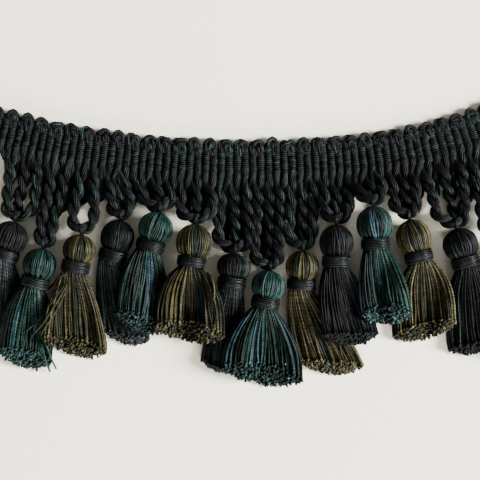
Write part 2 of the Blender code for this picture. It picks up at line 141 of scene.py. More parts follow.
# Picot loops: each knot's place across the pair of ribs, its depth and its height
PICOT_KNOTS = (
    (-0.60, 6.0, 1.6),
    (-0.58, 3.9, 1.9),
    (-0.46, 2.5, 2.0),
    (0.0, 1.75, 2.2),
    (0.46, 2.5, 2.0),
    (0.58, 3.9, 1.9),
    (0.60, 6.0, 1.6),
)
PICOT_WIDE = 0.6  # the outermost of those places
PICOT_LEAN = 0.35
PICOT_UNEVEN = 0.22
PICOT_DOUBLE_SHARE = 0.5
PICOT_SHOULDER = 0.3  # how far the shoulders of a double picot rise, as a share of its dip
PICOT_INSIDE = 0.36  # the inner turn of a picot against its outer one
PICOT_DEEPER = 1.6  # how much lower the inner turn lies
PICOT_DIP = 0.55  # how far the middle of a double picot lies under its shoulders
PICOT_PLY_OFFSET = 0.74
PICOT_PLY_PITCH = 9.0
PICOT_YARNS = 4
PICOT_YARN_OFFSET = 0.58
PICOT_YARN_THICK = 0.41
PICOT_PITCH = 14.0
PICOT_POINTS = 17

# Tassels, as in the part's source
AXIS_HIGH = (6.9, 8.2, 9.4)
NECK_RADIUS = 4.4
BINDING_TALL = 5.0
BINDING_RADIUS = 6.2
SKIRT_ROOT_RADIUS = 5.4
SKIRT_ROOT_BELOW = 3.0
COLUMNS = 6
COLUMN_ANGLES = (0.875, 0.125)  # half turns: the first column's, and the step to the next
LOCK_STEPS = (0.22, 0.58, 1.0)
LOCK_GAP = 0.45
END_ROUNDING = 0.13
NEAR_LOCK = 0.15  # how near a lock's middle its own points lie

# Tassels, their yarns
SKIRT_YARNS = 215
SKIRT_ENDS = 130  # yarns of which only the cut end shows
SKIRT_POINTS = 12
END_POINTS = 4
END_RUN = 0.16
END_LAYERS = 0.55  # they fill the lower part of the cut
LAYER_LEAST = 0.08  # keeps the yarns at a skirt's two edges off its floor and its top
SKIRT_UNEVEN = (0.6, 1.5)
# each skirt's dye factor: partly its own tone, partly painted shade for the shadow between its yarns, and painted
# light on the first dark one, which lies in its neighbour's shadow
SKIRT_TONES_AND_PAINTED_LIGHT = (3.2, 0.80, 0.62, 1.9, 0.58, 0.70, 1.5, 0.56, 0.9, 0.45, 0.95, 0.74, 0.50, 0.8)
SKIRT_THICK = 0.45
SKIRT_PUFF = 0.7  # how much sooner the yarns spread than the solid's locks
SKIRT_NARROW = 0.95  # the yarns' spread at the root and at the end, against the solid's
SKIRT_WIDE = 0.97
SKIRT_INSIDE = 0.3  # how far under the solid's surface the yarns leave the binding
SKIRT_DRIFT = 0.028
SKIRT_SWAY = 0.8
SWAY_WAVES = (4, 9)
SWAY_PHASES = (0, 6.3)
SKIRT_RISE = 0.25
EDGE_CALM = 0.75  # how much less the yarns at a skirt's two edges sway
CUT_SLANT = (0.16, 0.26, 0.24, 0.12, 0.24, 0.32, 0.06, 0.32, 0.18, 0.16, 0.30, 0.24, 0.14, 0.26)
CUT_UNEVEN = 0.008
TIP_CURL = 0.7  # how far the ends of the topmost yarns rise
TIP_CURL_SHARES = np.array([0.08, 0.45, 1.0])  # of that, at the last three points
TIP_CURL_SPREAD = (0.4, 1.0)
TIP_TURN = ((0.30, 0.24), (0.46, 0.85))  # the cut tip turns up: its steps along the yarn and upwards
TIP_TURN_SPREAD = (0.6, 1.2)
# the cut tips' dye is lightened: painted light on the ends that turn up to the light
TIP_PAINTED_LIGHT = 1.5
YARN_RUN = (0, 0.12, 0.94, 1)  # how wide a yarn is along its run, and at its tip's two points
YARN_WIDTHS = (0.75, 0.95, 1, 1.05)
TIP_WIDTHS = (1.2, 1.3)
STRAY_LOOK = 1.4  # how far round a stray yarn's point the height of those under it is read
STRAY_OVER = 0.7
STRAY_BRIGHT = 1.3
STRAYS = (  # the tassel's number from 0, and the yarn's points, each with its height over those under it
    (2, ((-71.5, -50.0, 0.3), (-77.0, -57.5, 0.5), (-82.5, -64.5, 0.6), (-87.9, -69.4, 0.4))),
    (2, ((-71.0, -50.5, 0.3), (-76.0, -59.0, 0.5), (-81.0, -66.5, 0.6), (-86.4, -71.9, 0.4))),
    (2, ((-71.0, -52.0, 0.3), (-75.5, -61.0, 0.5), (-79.5, -67.5, 0.6), (-83.1, -72.4, 0.4))),
    (2, ((-70.5, -46.0, 0.2), (-74.8, -47.5, 0.6), (-78.0, -50.5, 0.7), (-79.8, -53.4, 0.6))),
    (5, ((-14.0, -45.8, 0.0), (-11.8, -47.2, 0.2), (-10.6, -51.0, 0.2), (-10.4, -55.5, 0.0))),
    (1, ((-82.0, -72.0, 0.0), (-80.0, -77.5, 0.0), (-78.4, -82.0, 0.0), (-77.0, -86.0, 0.0))),
    (1, ((-83.0, -74.0, 0.0), (-81.6, -79.0, 0.0), (-80.6, -83.0, 0.0), (-79.6, -87.2, 0.0))),
    (9, ((50.0, -47.0, 0.0), (52.5, -53.0, 0.1), (54.5, -59.0, 0.1), (57.6, -64.5, 0.0))),
)
HEAD_YARNS = 56
HEAD_POINTS = 15
HEAD_THICK = 0.38
HEAD_OUTLINE = ((0.90, 0.60), (0.68, 0.91), (0.38, 1.0), (0.10, 0.88))  # shares of its height and radius
HEAD_UNEVEN = 0.22
HEAD_LEAN = 0.10
HEAD_RISE = 0.08
HEAD_WIDTH = 1.05
HEAD_LEAST_WIDTH = 0.5
HEAD_STRIPE = 2  # the most yarns of one dye side by side
HEAD_CORE_SEGMENTS = 24
HEAD_CORE_INSIDE = 1.5  # how many yarns' radii the core lies inside them
HEAD_CORE_POLE = 3
# near black: painted shade that shows in the gaps between the head's yarns
HEAD_CORE_PAINTED_SHADE = (0.003, 0.004, 0.005)
BLUE_SIDE = 0.6  # angle round the head, from its right, where the bluest yarns of a teal one lie
BLUE_LEAN = 1.0
BLUE_CONTRAST = 4
BINDING_TURNS = 7
BINDING_THREAD = 0.37
BINDING_POINTS = 26  # points to a turn
BINDING_PULL = 0.10
BINDING_ROUND = 0.35
UNDER_INSIDE = 0.75  # the layer of thread under the outer one
UNDER_WIDTH = 1.25
# the under layer's thread is darkened: painted shade between the outer turns
UNDER_PAINTED_SHADE = 0.7
GOLDEN_TURN = math.pi * (3 - math.sqrt(5))

Tassel = namedtuple("Tassel", "yarn level top neck end radius wide_left wide_right puff")
TASSELS = (
    Tassel("dark", 0, (-93.1, -24.9), (-97.5, -37.9), (-105.0, -72.5), 7.3, 12.5, 12.5, 2.2),
    Tassel("teal", 1, (-81.2, -36.0), (-84.8, -49.5), (-90.4, -85.0), 6.9, 11.2, 11.2, 2.4),
    Tassel("olive", 2, (-65.2, -30.2), (-67.8, -43.0), (-67.9, -80.4), 6.8, 13.8, 13.3, 1.4),
    Tassel("dark", 0, (-49.2, -24.2), (-52.7, -38.3), (-47.9, -75.0), 6.9, 10.4, 11.2, 2.2),
    Tassel("teal", 1, (-32.9, -21.0), (-37.1, -34.3), (-41.2, -70.0), 7.2, 11.2, 11.2, 2.4),
    Tassel("olive", 2, (-18.0, -25.8), (-20.0, -40.9), (-20.8, -74.2), 7.4, 15.0, 15.0, 3.2),
    Tassel("dark", 0, (-1.9, -37.9), (-3.5, -49.7), (-7.9, -86.7), 7.0, 8.8, 8.3, 2.0),
    Tassel("teal", 1, (12.7, -45.0), (10.5, -57.9), (9.2, -92.4), 7.0, 17.9, 17.5, 1.8),
    Tassel("olive", 0, (26.2, -36.8), (25.4, -50.5), (38.8, -87.9), 6.9, 13.8, 15.0, 1.3),
    Tassel("dark", 1, (39.9, -26.0), (39.8, -40.8), (46.7, -75.0), 7.1, 12.1, 12.1, 2.0),
    Tassel("teal", 2, (55.0, -18.3), (55.9, -33.6), (61.7, -66.7), 7.4, 10.4, 10.4, 2.2),
    Tassel("olive", 1, (69.8, -24.0), (73.8, -38.9), (77.1, -73.3), 7.2, 13.3, 13.3, 3.0),
    Tassel("dark", 0, (89.6, -27.7), (93.4, -41.1), (99.6, -78.8), 7.3, 12.5, 12.5, 2.2),
    Tassel("teal", 1, (107.1, -32.1), (111.2, -45.4), (118.3, -81.2), 7.3, 11.7, 12.5, 2.0),
)

Loop = namedtuple("Loop", "left_root left_side right_side right_root middle")
LOOPS = (
    Loop(-95.8, -96.8, -85.4, -84.8, -89.4),
    Loop(-78.8, -82.9, -77.9, -73.2, None),
    Loop(-66.6, -69.3, -60.4, -61.4, None),
    Loop(-54.2, -53.6, -45.6, -48.3, -51.2),
    Loop(-42.5, -40.6, -28.6, -28.8, -35.0),
    Loop(-23.3, -25.2, -11.4, -12.9, -18.3),
    Loop(-7.5, -9.2, 3.6, 2.5, -2.5),
    Loop(7.5, 5.8, 16.0, 16.7, 12.1),
    Loop(21.5, 20.2, 30.0, 30.8, 26.2),
    Loop(35.2, 34.9, 45.2, 44.8, 40.0),
    Loop(49.4, 49.2, 58.8, 58.6, 54.0),
    Loop(63.3, 63.8, 73.0, 72.7, 68.0),
    Loop(77.5, 81.2, 93.2, 92.5, 85.0),
    Loop(97.5, 100.2, 110.2, 107.0, 102.3),
)

# Dyes as linear colours, each with its share of the yarns; some stand in for light, as marked
DYES = {
    "gimp": (
        ((0.0056, 0.0046, 0.0062), 6),
        ((0.0034, 0.0066, 0.0056), 5),
        # a painted glint: light green that stands in for threads catching the light
        ((0.0088, 0.0164, 0.0136), 2),
        ((0.0034, 0.0037, 0.0038), 3),
    ),
    "dark": (
        ((0.0046, 0.0044, 0.0052), 5),
        ((0.0034, 0.0050, 0.0047), 5),
        # a painted glint: light green that stands in for yarns catching the light
        ((0.0088, 0.0160, 0.0135), 1),
        ((0.0082, 0.0080, 0.0092), 1),
    ),
    "teal": (
        ((0.0034, 0.0115, 0.0085), 5),
        ((0.0072, 0.0210, 0.0145), 3),
        ((0.0155, 0.0355, 0.0450), 2.2),
        ((0.0024, 0.0042, 0.0048), 3),
    ),
    # the heads' teal: lighter greens and fewer of the darkest yarns than the skirts', painted light; its blue is
    # darker
    "teal_head_lit": (
        ((0.0046, 0.0165, 0.0118), 5),
        ((0.0078, 0.0228, 0.0172), 3),
        ((0.0130, 0.0310, 0.0390), 1.8),
        ((0.0028, 0.0066, 0.0068), 1.6),
    ),
    "olive": (
        ((0.0290, 0.0250, 0.0092), 4),
        ((0.0120, 0.0106, 0.0042), 4),
        ((0.0042, 0.0080, 0.0062), 3),
        ((0.0510, 0.0450, 0.0200), 1),
    ),
    "thread": (
        ((0.0044, 0.0050, 0.0052), 4),
        ((0.0062, 0.0110, 0.0095), 2),
        ((0.0066, 0.0057, 0.0074), 2),
    ),
}

DYE_UNEVEN = (0.6, 1.4)
FIBRE_PAINTED_SHADE = 0.45  # a yarn's dye between its twisted fibres, darkened as painted shade, and on them, lightened as painted light
FIBRE_PAINTED_LIGHT = 1.45

# Each slot's roughness, specular level and number of twists along a yarn
YARN_LOOKS = {
    "gimp": (0.46, 0.08, 24.0),
    "yarn_dark": (0.44, 0.06, 10.0),
    "yarn_teal": (0.40, 0.09, 10.0),
    "yarn_olive": (0.42, 0.09, 10.0),
    "thread": (0.38, 0.10, 60.0),
}

# Stage, in metres and watts
PAPER = (0.88, 0.835, 0.675, 1.0)
SKY = (1.0, 0.99, 0.97, 1.0)
SKY_STRENGTH = 0.42
LIGHT_AIM = (0.0, -0.02, 0.0)
LIGHTS = (
    ("key", (2.8, -0.1, 1.55), 1.3, 615.0),
    ("low_front", (0.4, -2.6, 0.9), 1.8, 200.0),
)
CAMERA_PLACE = (0.0, -0.0321, 0.5595)

MATERIALS = {}
LAID = []  # the points of the skirts' yarns laid so far, tassel by tassel


def placed(point):
    """A point in metres."""
    return Vector(point) * MM


def smooth(t):
    """An even start and stop from 0 to 1."""
    t = np.clip(t, 0.0, 1.0)
    return t * t * (3 - 2 * t)


def swag(x):
    """The picot tips' curve: height and slope at x."""
    square, fourth = SWAG_LEFT if x < 0 else SWAG_RIGHT
    return TIP_Y + square * x**2 + fourth * x**4, 2 * square * x + 4 * fourth * x**3


def under_tips(x, depth):
    """The point at this depth below the tips' curve, measured square to it."""
    height, slope = swag(x)
    length = math.hypot(1.0, slope)
    return x + depth * slope / length, height - depth / length


def x_on_tips(x, depth):
    """The tips' curve x whose point at this depth lies at x."""
    guess = x
    for _ in range(12):
        guess += x - under_tips(guess, depth)[0]
    return guess


def along_tips():
    """The tips' curve measured along its length: lengths, and the x at each."""
    xs = np.linspace(-HALF_SPAN, HALF_SPAN, 2001)
    slopes = np.array([swag(x)[1] for x in xs])
    lengths = np.concatenate([[0.0], np.cumsum(np.hypot(1.0, slopes[1:]) * np.diff(xs))])
    return lengths, xs


TIP_LENGTHS, TIP_XS = along_tips()
RIB_PITCH = TIP_LENGTHS[-1] / RIBS


def on_band(length, depth, height):
    """A point of the heading: this far along the tips' curve, this far below it and this high."""
    x, y = under_tips(float(np.interp(length, TIP_LENGTHS, TIP_XS)), depth)
    return x, y, height


def even_line(knots, count):
    """Points at even steps along a smooth line through the knots."""
    knots = np.asarray(knots, float)
    padded = np.vstack([2 * knots[0] - knots[1], knots, 2 * knots[-1] - knots[-2]])
    fine = []
    for a, b, c, d in zip(padded, padded[1:], padded[2:], padded[3:]):
        for t in np.linspace(0, 1, 10, endpoint=False):
            bend = (2 * a - 5 * b + 4 * c - d) * t * t + (3 * b - a - 3 * c + d) * t**3
            fine.append(0.5 * (2 * b + (c - a) * t + bend))
    fine = np.array([*fine, knots[-1]])
    run = np.concatenate([[0.0], np.cumsum(np.linalg.norm(np.diff(fine, axis=0), axis=1))])
    at = np.linspace(0.0, run[-1], count)
    return np.stack([np.interp(at, run, fine[:, k]) for k in range(3)], axis=1)


def pick_dyes(rng, family, count, longest_stripe=1, turn=0.0):
    """Colours for this many yarns side by side, in stripes of one to longest_stripe yarns.

    With a turn, which is the angle from one yarn to the next, the blue of a teal tassel gathers on one side.
    """
    colours = np.array([colour for colour, _ in DYES[family]])
    blue = np.clip((colours[:, 2] - colours[:, 1]) / colours[:, 2] * BLUE_CONTRAST, 0, 1)
    picked = []
    while len(picked) < count:
        shares = np.array([share for _, share in DYES[family]], float)
        if turn:
            shares *= np.exp(BLUE_LEAN * blue * math.cos(len(picked) * turn - BLUE_SIDE))
        stripe = int(rng.integers(1, longest_stripe + 1))
        picked += [int(rng.choice(len(colours), p=shares / shares.sum()))] * stripe
    return colours[picked[:count]] * rng.uniform(*DYE_UNEVEN, (count, 1))


def only(obj):
    """Selects this piece alone and makes it the active one."""
    bpy.ops.object.select_all(action="DESELECT")
    obj.select_set(True)
    bpy.context.view_layer.objects.active = obj


def keep_dye(mesh, dyes):
    """Writes each vertex's dye, which its material reads."""
    layer = mesh.attributes.new("dye", "FLOAT_COLOR", "POINT")
    layer.data.foreach_set("color", np.column_stack([dyes, np.ones(len(dyes))]).ravel())


def spin_yarns(name, runs, widths, dyes, thick):
    """One mesh of round yarns. Each run has its points, a width at each point and a dye at each point."""
    curve = bpy.data.curves.new(name, "CURVE")
    curve.dimensions = "3D"
    curve.bevel_depth = thick * MM
    curve.bevel_resolution = 0
    curve.use_fill_caps = True
    for run, width in zip(runs, widths):
        spline = curve.splines.new("POLY")
        spline.points.add(len(run) - 1)
        spline.points.foreach_set("co", np.column_stack([run * MM, np.ones(len(run))]).ravel())
        spline.points.foreach_set("radius", np.asarray(width, float))
    obj = bpy.data.objects.new(name, curve)
    bpy.context.scene.collection.objects.link(obj)
    only(obj)
    bpy.ops.object.convert(target="MESH")
    obj = bpy.context.object
    # The conversion lists the caps first, from the last yarn to the first, and then the sides.
    caps = [np.repeat([dye[-1], dye[0]], 4, axis=0) for dye in reversed(dyes)]
    sides = [np.repeat(dye, 4, axis=0) for dye in dyes]
    keep_dye(obj.data, np.concatenate(caps + sides))
    bpy.ops.object.mode_set(mode="EDIT")
    bpy.ops.mesh.select_all(action="SELECT")
    bpy.ops.mesh.remove_doubles(threshold=1e-6)
    bpy.ops.object.mode_set(mode="OBJECT")
    bpy.ops.object.shade_smooth()
    obj.name = name
    obj.data.name = name
    return obj


def dress(obj, slot, *nodes):
    """Gives a piece its yarn's material and its place in the frame."""
    obj.data.materials.clear()
    obj.data.materials.append(MATERIALS[slot])
    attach(obj, "root")
    if nodes:
        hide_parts(*nodes)
    return obj


def yarn_material(slot, roughness, specular, twists):
    """A lustrous yarn: its dye, a little uneven along its length with painted sheen in broken streaks, under the
    fine lines of its own twist, with painted shade between its fibres and painted light on them.
    """
    made = bpy.data.materials.new(slot)
    made.use_nodes = True
    nodes = made.node_tree.nodes
    links = made.node_tree.links
    shader = nodes["Principled BSDF"]
    shader.inputs["Specular IOR Level"].default_value = specular
    where = nodes.new("ShaderNodeTexCoord")

    dye = nodes.new("ShaderNodeAttribute")
    dye.attribute_name = "dye"
    uneven = nodes.new("ShaderNodeTexNoise")
    uneven.inputs["Scale"].default_value = 420.0
    uneven.inputs["Detail"].default_value = 3.0
    links.new(where.outputs["Object"], uneven.inputs["Vector"])
    # the dye rises and falls with this noise: uneven dye, and painted sheen in broken streaks
    strength = nodes.new("ShaderNodeMapRange")
    strength.inputs["From Min"].default_value = 0.3
    strength.inputs["From Max"].default_value = 0.7
    strength.inputs["To Min"].default_value = 0.4
    strength.inputs["To Max"].default_value = 1.7
    links.new(uneven.outputs["Fac"], strength.inputs["Value"])
    lustre = nodes.new("ShaderNodeMapRange")
    lustre.inputs["From Min"].default_value = 0.3
    lustre.inputs["From Max"].default_value = 0.7
    lustre.inputs["To Min"].default_value = roughness - 0.08
    lustre.inputs["To Max"].default_value = roughness + 0.1
    links.new(uneven.outputs["Fac"], lustre.inputs["Value"])
    links.new(lustre.outputs["Result"], shader.inputs["Roughness"])

    turned = nodes.new("ShaderNodeMapping")
    turned.inputs["Scale"].default_value = (twists, 1.0, 1.0)
    links.new(where.outputs["UV"], turned.inputs["Vector"])
    fibres = nodes.new("ShaderNodeTexWave")
    fibres.wave_type = "BANDS"
    fibres.bands_direction = "DIAGONAL"
    fibres.inputs["Scale"].default_value = 1.5
    fibres.inputs["Distortion"].default_value = 0.6
    links.new(turned.outputs["Vector"], fibres.inputs["Vector"])
    relief = nodes.new("ShaderNodeBump")
    relief.inputs["Strength"].default_value = 0.35
    relief.inputs["Distance"].default_value = 0.08 * MM
    links.new(fibres.outputs["Fac"], relief.inputs["Height"])
    links.new(relief.outputs["Normal"], shader.inputs["Normal"])

    # painted shade between the twisted fibres and painted light on them, in the bands of the twist's bumps
    depth = nodes.new("ShaderNodeMapRange")
    depth.inputs["To Min"].default_value = FIBRE_PAINTED_SHADE
    depth.inputs["To Max"].default_value = FIBRE_PAINTED_LIGHT
    links.new(fibres.outputs["Fac"], depth.inputs["Value"])
    share = nodes.new("ShaderNodeMath")
    share.operation = "MULTIPLY"
    links.new(strength.outputs["Result"], share.inputs[0])
    links.new(depth.outputs["Result"], share.inputs[1])
    dyed = nodes.new("ShaderNodeVectorMath")
    dyed.operation = "SCALE"
    links.new(dye.outputs["Color"], dyed.inputs[0])
    links.new(share.outputs["Value"], dyed.inputs["Scale"])
    links.new(dyed.outputs["Vector"], shader.inputs["Base Color"])
    return made


def make_band():
    """The heading's body: a flat-backed slab with a raised rib for each half picot, under the wrapping threads."""
    columns = RIBS * BODY_COLUMNS
    bpy.ops.object.select_all(action="DESELECT")
    bpy.ops.mesh.primitive_grid_add(x_subdivisions=columns, y_subdivisions=BODY_ROWS, size=2.0)
    obj = bpy.context.object
    obj.name = "heading_band"
    obj.data.name = "heading_band"
    for vert in obj.data.vertices:
        i = round((vert.co.x + 1) / 2 * columns)
        j = round((vert.co.y + 1) / 2 * BODY_ROWS)
        depth = PICOT_TALL + BAND_TALL - BODY_SHORT - (BAND_TALL + BODY_TALLER) * j / BODY_ROWS
        across = ((i / BODY_COLUMNS) % 1.0 - 0.5) * 2
        rise = math.cos(across * math.pi / 2)
        height = BODY_GROOVE + (BODY_PEAK - BODY_GROOVE) * rise
        vert.co = placed(on_band(i / BODY_COLUMNS * RIB_PITCH, depth, height))
    bpy.ops.object.mode_set(mode="EDIT")
    bpy.ops.mesh.select_all(action="SELECT")
    bpy.ops.mesh.extrude_region_move()
    bpy.ops.object.mode_set(mode="OBJECT")
    for vert in obj.data.vertices:
        if vert.select:
            vert.co.z = 0.0
    bpy.ops.object.mode_set(mode="EDIT")
    bpy.ops.mesh.select_all(action="SELECT")
    bpy.ops.mesh.normals_make_consistent(inside=False)
    bpy.ops.object.mode_set(mode="OBJECT")
    keep_dye(obj.data, np.tile(BODY_DYE, (len(obj.data.vertices), 1)))
    return dress(obj, "gimp", "heading")


def make_weft():
    """The fine threads that wrap every rib, row by row down the band."""
    rng = np.random.default_rng(11)
    plum, green, glint = (np.array(colour) for colour, _ in DYES["gimp"][:3])
    phases = rng.uniform(0, 2 * math.pi, (RIBS, 3))
    slants = rng.normal(0, WEFT_SLANT, RIBS)
    shifts = rng.uniform(-WEFT_SHIFT, WEFT_SHIFT, RIBS)
    runs, widths, dyes = [], [], []
    for row in range(round(BAND_TALL / WEFT_STEP)):
        depth = PICOT_TALL - WEFT_START + WEFT_STEP * (row + 0.5)
        run, dye = [], []
        for rib in range(RIBS):
            wave = sum(math.sin(depth * fast + phase) for fast, phase in zip(GREEN_WAVES, phases[rib]))
            wave += rng.normal(0, GREEN_JITTER)
            share = float(smooth((wave + GREEN_SPAN) / (2 * GREEN_SPAN)))
            shade = plum * (1 - share) + green * share
            # painted highlight: a share of the threads take the light green glint dye
            if rng.random() < GLINT_SHARE:
                shade = glint * GLINT_DEEPER
            shade = shade * rng.uniform(*WEFT_SHADES)
            bulge = 1 + BULGE * math.sin(depth * BULGE_WAVE + phases[rib, 2])
            lift = rng.uniform(*WEFT_LIFTS)
            for u, rise in zip(WEFT_ACROSS, WEFT_RISES):
                length = (rib + 0.5) * RIB_PITCH + u * RIB_HALF * bulge
                height = GROOVE_HIGH + (RIB_PEAK * bulge * lift - GROOVE_HIGH - WEFT_THICK) * rise
                jitter = rng.normal(0, WEFT_JITTER) + slants[rib] * u + shifts[rib]
                run.append(on_band(length, depth + jitter, height))
                dye.append(shade)
        runs.append(np.array(run))
        widths.append(np.ones(len(run)))
        dyes.append(np.array(dye))
    return dress(spin_yarns("heading_weft", runs, widths, dyes, WEFT_THICK), "gimp")


def wind(line, offset, pitch, start):
    """A path that winds round a line at this offset. Seen from above, its near side runs down to the right.

    The offset is one number, or one for each point of the line.
    """
    ahead = np.gradient(line, axis=0)
    ahead /= np.linalg.norm(ahead, axis=1)[:, None]
    across = np.stack([-ahead[:, 1], ahead[:, 0], np.zeros(len(line))], axis=1)
    across /= np.linalg.norm(across, axis=1)[:, None]
    above = np.cross(ahead, across)
    above *= np.sign(above[:, 2:3])
    steps = np.linalg.norm(np.diff(line, axis=0), axis=1)
    angle = start - 2 * math.pi * np.concatenate([[0.0], np.cumsum(steps)]) / pitch
    offset = np.broadcast_to(offset, len(line))[:, None]
    return line + offset * (across * np.cos(angle)[:, None] + above * np.sin(angle)[:, None])


def ply_yarns(rng, line, yarns, offset, pitch):
    """The yarns of one ply, loosely twisted the other way, as points and dyes."""
    start = rng.uniform(0, 2 * math.pi)
    shades = pick_dyes(rng, "gimp", yarns)
    runs = [wind(line, offset, -pitch, start + 2 * math.pi * k / yarns) for k in range(yarns)]
    return runs, [np.tile(shade, (len(line), 1)) for shade in shades]


def spin_plies(rng, name, paths):
    """The yarns of every ply along its path, in one mesh, kept over the floor."""
    runs, dyes = [], []
    for path in paths:
        made, shades = ply_yarns(rng, path, PLY_YARNS, PLY_YARN_OFFSET, PLY_TWIST_PITCH)
        runs += made
        dyes += shades
    for run in runs:
        run[:, 2] = np.maximum(run[:, 2], PLY_YARN_THICK)
    return spin_yarns(name, runs, [np.ones(len(run)) for run in runs], dyes, PLY_YARN_THICK)


def make_picots():
    """The loop of cord over each pair of ribs."""
    rng = np.random.default_rng(21)
    runs, dyes = [], []
    for picot in range(PICOTS):
        middle = (2 * picot + 1) * RIB_PITCH
        lean = rng.normal(0, PICOT_LEAN)
        tall = rng.normal(0, PICOT_UNEVEN)
        dip = PICOT_DIP if rng.random() < PICOT_DOUBLE_SHARE else 0.0
        for shrink, deeper in ((1.0, 0.0), (PICOT_INSIDE, PICOT_DEEPER)):
            points = []
            for share, depth, height in PICOT_KNOTS:
                high = 1 - abs(share) / PICOT_WIDE
                length = middle + shrink * share * RIB_PITCH + lean * high
                dipped = dip * (high > 0.9) - PICOT_SHOULDER * dip * (0.2 < high < 0.9)
                points.append(on_band(length, depth + deeper + dipped - tall * high, height))
            line = even_line(points, PICOT_POINTS)
            start = rng.uniform(0, 2 * math.pi)
            for ply in range(2):
                path = wind(line, PICOT_PLY_OFFSET, PICOT_PLY_PITCH, start + math.pi * ply)
                made, shades = ply_yarns(rng, path, PICOT_YARNS, PICOT_YARN_OFFSET, PICOT_PITCH)
                runs += made
                dyes += shades
    for run in runs:
        run[:, 2] = np.maximum(run[:, 2], PICOT_YARN_THICK)
    widths = [np.ones(len(run)) for run in runs]
    return dress(spin_yarns("picots", runs, widths, dyes, PICOT_YARN_THICK), "gimp")


def loop_bottom(number):
    """The middle of the cord at the bottom of a loop, where the tie holds the tassel."""
    tassel = TASSELS[number]
    x, y = tassel.top
    return x, y + TIE_BORE + TIE_THREAD + GAP, AXIS_HIGH[tassel.level]


def cord_route(number, which):
    """Points down one cord, from its root to the bottom of its loop."""
    loop = LOOPS[number]
    x_low, y_low, z_low = loop_bottom(number)
    y_low -= LOOP_LOWER
    root = {"left": loop.left_root, "right": loop.right_root, "middle": loop.middle}[which]
    depth = PICOT_TALL + BAND_TALL
    x0, y0 = under_tips(x_on_tips(root, depth), depth)
    if which == "middle":
        goal = [(x_low, y_low + MIDDLE_OVER)]
    else:
        side = loop.left_side if which == "left" else loop.right_side
        tall = min(LOOP_ROUND, LOOP_ROUND_SHARE * abs(side - x_low))
        goal = [
            (x_low + (side - x_low) * math.cos(a), y_low + tall * (1 - math.sin(a)))
            for a in np.linspace(0.0, math.pi / 2, 7)
        ]
    x1, y1 = goal[0]
    ts = np.linspace(0, 1, 12)
    down = np.column_stack([x0 + (x1 - x0) * smooth(ts) ** ROPE_LATE, y0 + (y1 - y0) * ts])
    flat = np.array([*down, *goal[1:]])
    run = np.concatenate([[0.0], np.cumsum(np.hypot(*np.diff(flat, axis=0).T))])
    z_end = max(z_low - MIDDLE_UNDER if which == "middle" else z_low, CORD_LOW)
    heights = CORD_LOW + (z_end - CORD_LOW) * smooth(run / run[-1])
    return np.column_stack([flat, heights])


def rib_at(x):
    """The rib over this x of the band's lower edge."""
    root = float(np.interp(x_on_tips(x, PICOT_TALL + BAND_TALL), TIP_XS, TIP_LENGTHS))
    return min(max(math.floor(root / RIB_PITCH), 0), RIBS - 1)


def rib_end(rib):
    """Where a ply comes out of its rib, and a point inside the rib before it."""
    length = (rib + 0.5) * RIB_PITCH
    depth = PICOT_TALL + BAND_TALL - PETAL_INSIDE
    top = np.array(on_band(length, depth, PETAL_HIGH))
    return top, np.array(on_band(length, depth - LEAD_BACK, PETAL_HIGH - LEAD_DOWN))


def from_rib(line, ply, used):
    """The ply's path with its first stretch led down from its own rib, and the point inside the rib."""
    run = np.linalg.norm(line - line[0], axis=1)
    look = int(np.searchsorted(run, PETAL_RUN * 0.5))
    aside = math.copysign(RIB_PITCH / 2, ply[look, 0] - line[look, 0])
    rib = rib_at(line[0, 0] + aside)
    used.add(rib)
    top, lead = rib_end(rib)
    stay = smooth(run / PETAL_RUN)[:, None]
    return (top + line - line[0]) * (1 - stay) + ply * stay, lead


def petal(rib, lines):
    """A ply that leaves a rib of its own and slips behind the nearest rope."""
    top, lead = rib_end(rib)
    line = min(lines, key=lambda near: abs(near[0, 0] - top[0]))
    run = np.linalg.norm(line - line[0], axis=1)
    if abs(line[0, 0] - top[0]) > PETAL_REACH:
        down = np.linspace(0, STUB_TALL, 8)[:, None]
        return np.vstack([lead, top + down * np.array([STUB_LEAN, -1.0, 0.0])])
    count = max(6, int(np.searchsorted(run, min(PETAL_TALL, PETAL_SHARE * run.max()))))
    stay = smooth(run[:count] / PETAL_TALL * PETAL_SOONER)[:, None]
    behind = line[:count] - np.array([0.0, 0.0, PETAL_BEHIND])
    return np.vstack([lead, (top + line[:count] - line[0]) * (1 - stay) + behind * stay])


def fill_between(legs):
    """For each two legs that hang side by side, a single ply that hangs behind the gap between them."""
    paths = []
    legs = sorted(legs, key=lambda leg: leg[1][0, 0])
    for (number, left), (other, right) in zip(legs, legs[1:]):
        closed = number == other and number not in OPEN_FROM
        count = int((FILL_INSIDE if closed else FILL_SHARE) * min(len(left), len(right)))
        middle = (left[:count] + right[:count]) / 2
        if number == other and not closed:
            count = max(8, int(np.searchsorted(-middle[:, 1], -OPEN_FROM[number])))
            middle = middle[:count]
        count = len(middle)
        run = np.linalg.norm(middle - middle[0], axis=1)
        tuck = smooth((run - run[-1] + FILL_TUCK) / FILL_TUCK)[:, None] * (not closed)
        path = middle * (1 - tuck) + left[:count] * tuck
        path[:, 0] += FILL_SWAY * np.sin(run * 2 * math.pi / TWIST_PITCH + number)
        path[:, 2] = FILL_HIGH
        top, lead = rib_end(rib_at(middle[0, 0]))
        stay = smooth(run / PETAL_RUN)[:, None]
        path = (top + middle - middle[0]) * (1 - stay) + path * stay
        paths.append(even_line([lead, *path], int((run[-1] + 2) / FILL_STEP)))
    return paths


